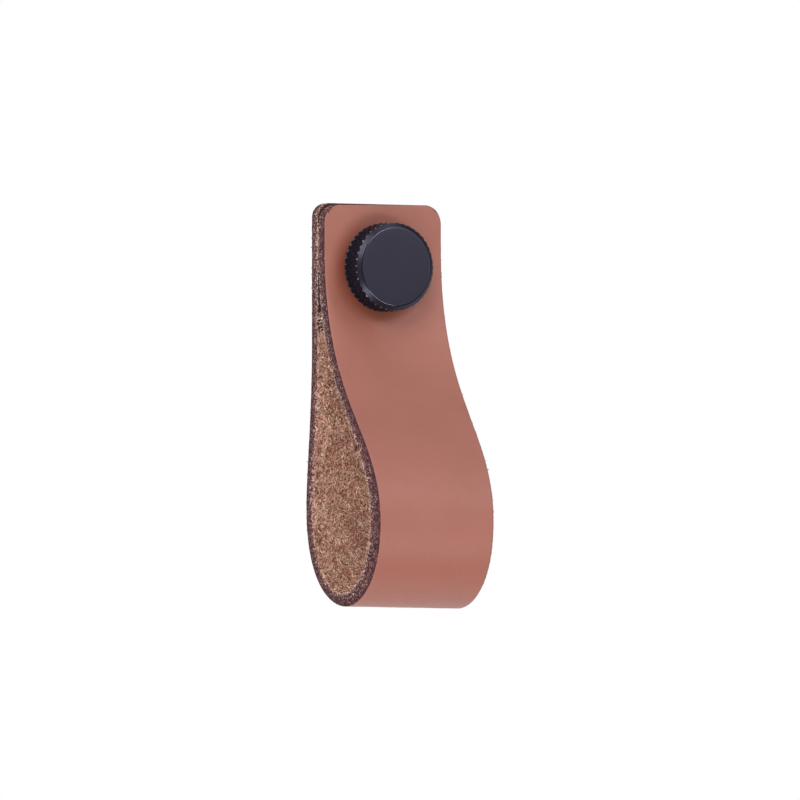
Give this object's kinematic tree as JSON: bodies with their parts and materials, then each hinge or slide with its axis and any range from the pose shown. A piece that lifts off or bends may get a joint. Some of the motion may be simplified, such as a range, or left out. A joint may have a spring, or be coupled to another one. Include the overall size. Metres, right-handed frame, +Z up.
{
  "type": "leather cabinet pull",
  "caption": "Leather strap folded into a hanging finger loop, its ends clamped to a door or drawer front by a knurled round knob and a machine screw from behind.",
  "frame": {"origin": "where the screw's axis meets the back of the strap, in the plane of the door's surface", "axes": "+Z up along the strap, +Y into the door along the screw, the knob and the loop face -Y"},
  "size_m": [0.0268, 0.0415, 0.0785],
  "materials": {
    "strap_leather": "smooth vegetable-tanned grain outside, raw suede flesh inside, dark dyed cut edges",
    "black_knob_metal": "satin black with a blue tint, turned face and chamfer, diamond knurl",
    "zinc_plated_steel": "bright zinc plating"
  },
  "bodies": {
    "root": {"leather_strap": "strap_leather", "knurled_knob": "black_knob_metal", "mounting_screw": "zinc_plated_steel"}
  },
  "joints": []
}
